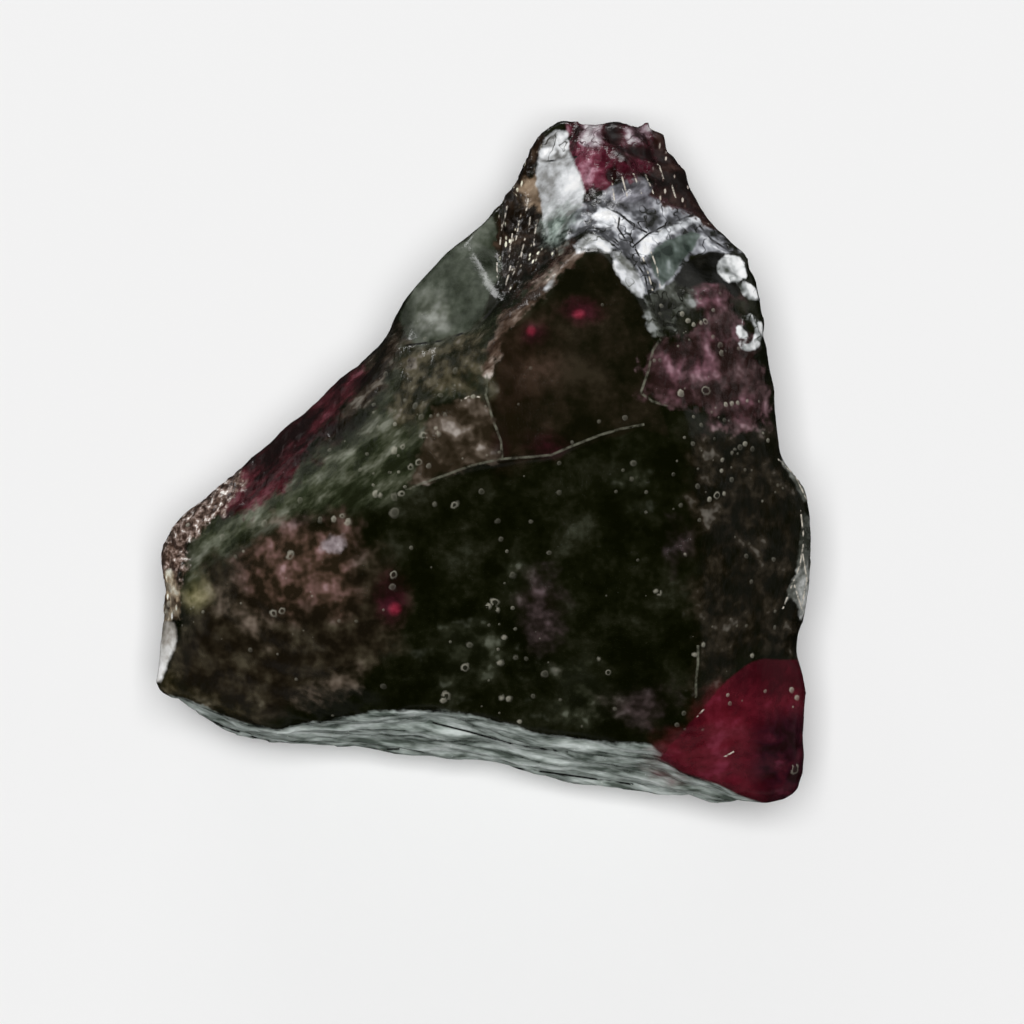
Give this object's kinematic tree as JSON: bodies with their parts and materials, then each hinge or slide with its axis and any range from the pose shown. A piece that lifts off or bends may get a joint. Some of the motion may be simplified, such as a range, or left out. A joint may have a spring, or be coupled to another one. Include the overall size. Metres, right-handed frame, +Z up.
{
  "type": "rough gemstone crystal",
  "caption": "Rough faceted dark crystal fragment, wedge-shaped with a knob at one end, lying on its flat back fracture.",
  "frame": {"origin": "middle of the bounding box in plan, on the flat resting face under the stone", "axes": "+Y along the stone towards the knob, its longest extent; +X towards the blunt red corner; +Z up out of the pictured face, through the thickness, its shortest extent"},
  "size_m": [0.0144, 0.015, 0.0074],
  "materials": {
    "rough_painite": "glossy"
  },
  "bodies": {
    "root": {"painite_crystal": "rough_painite"}
  },
  "joints": []
}
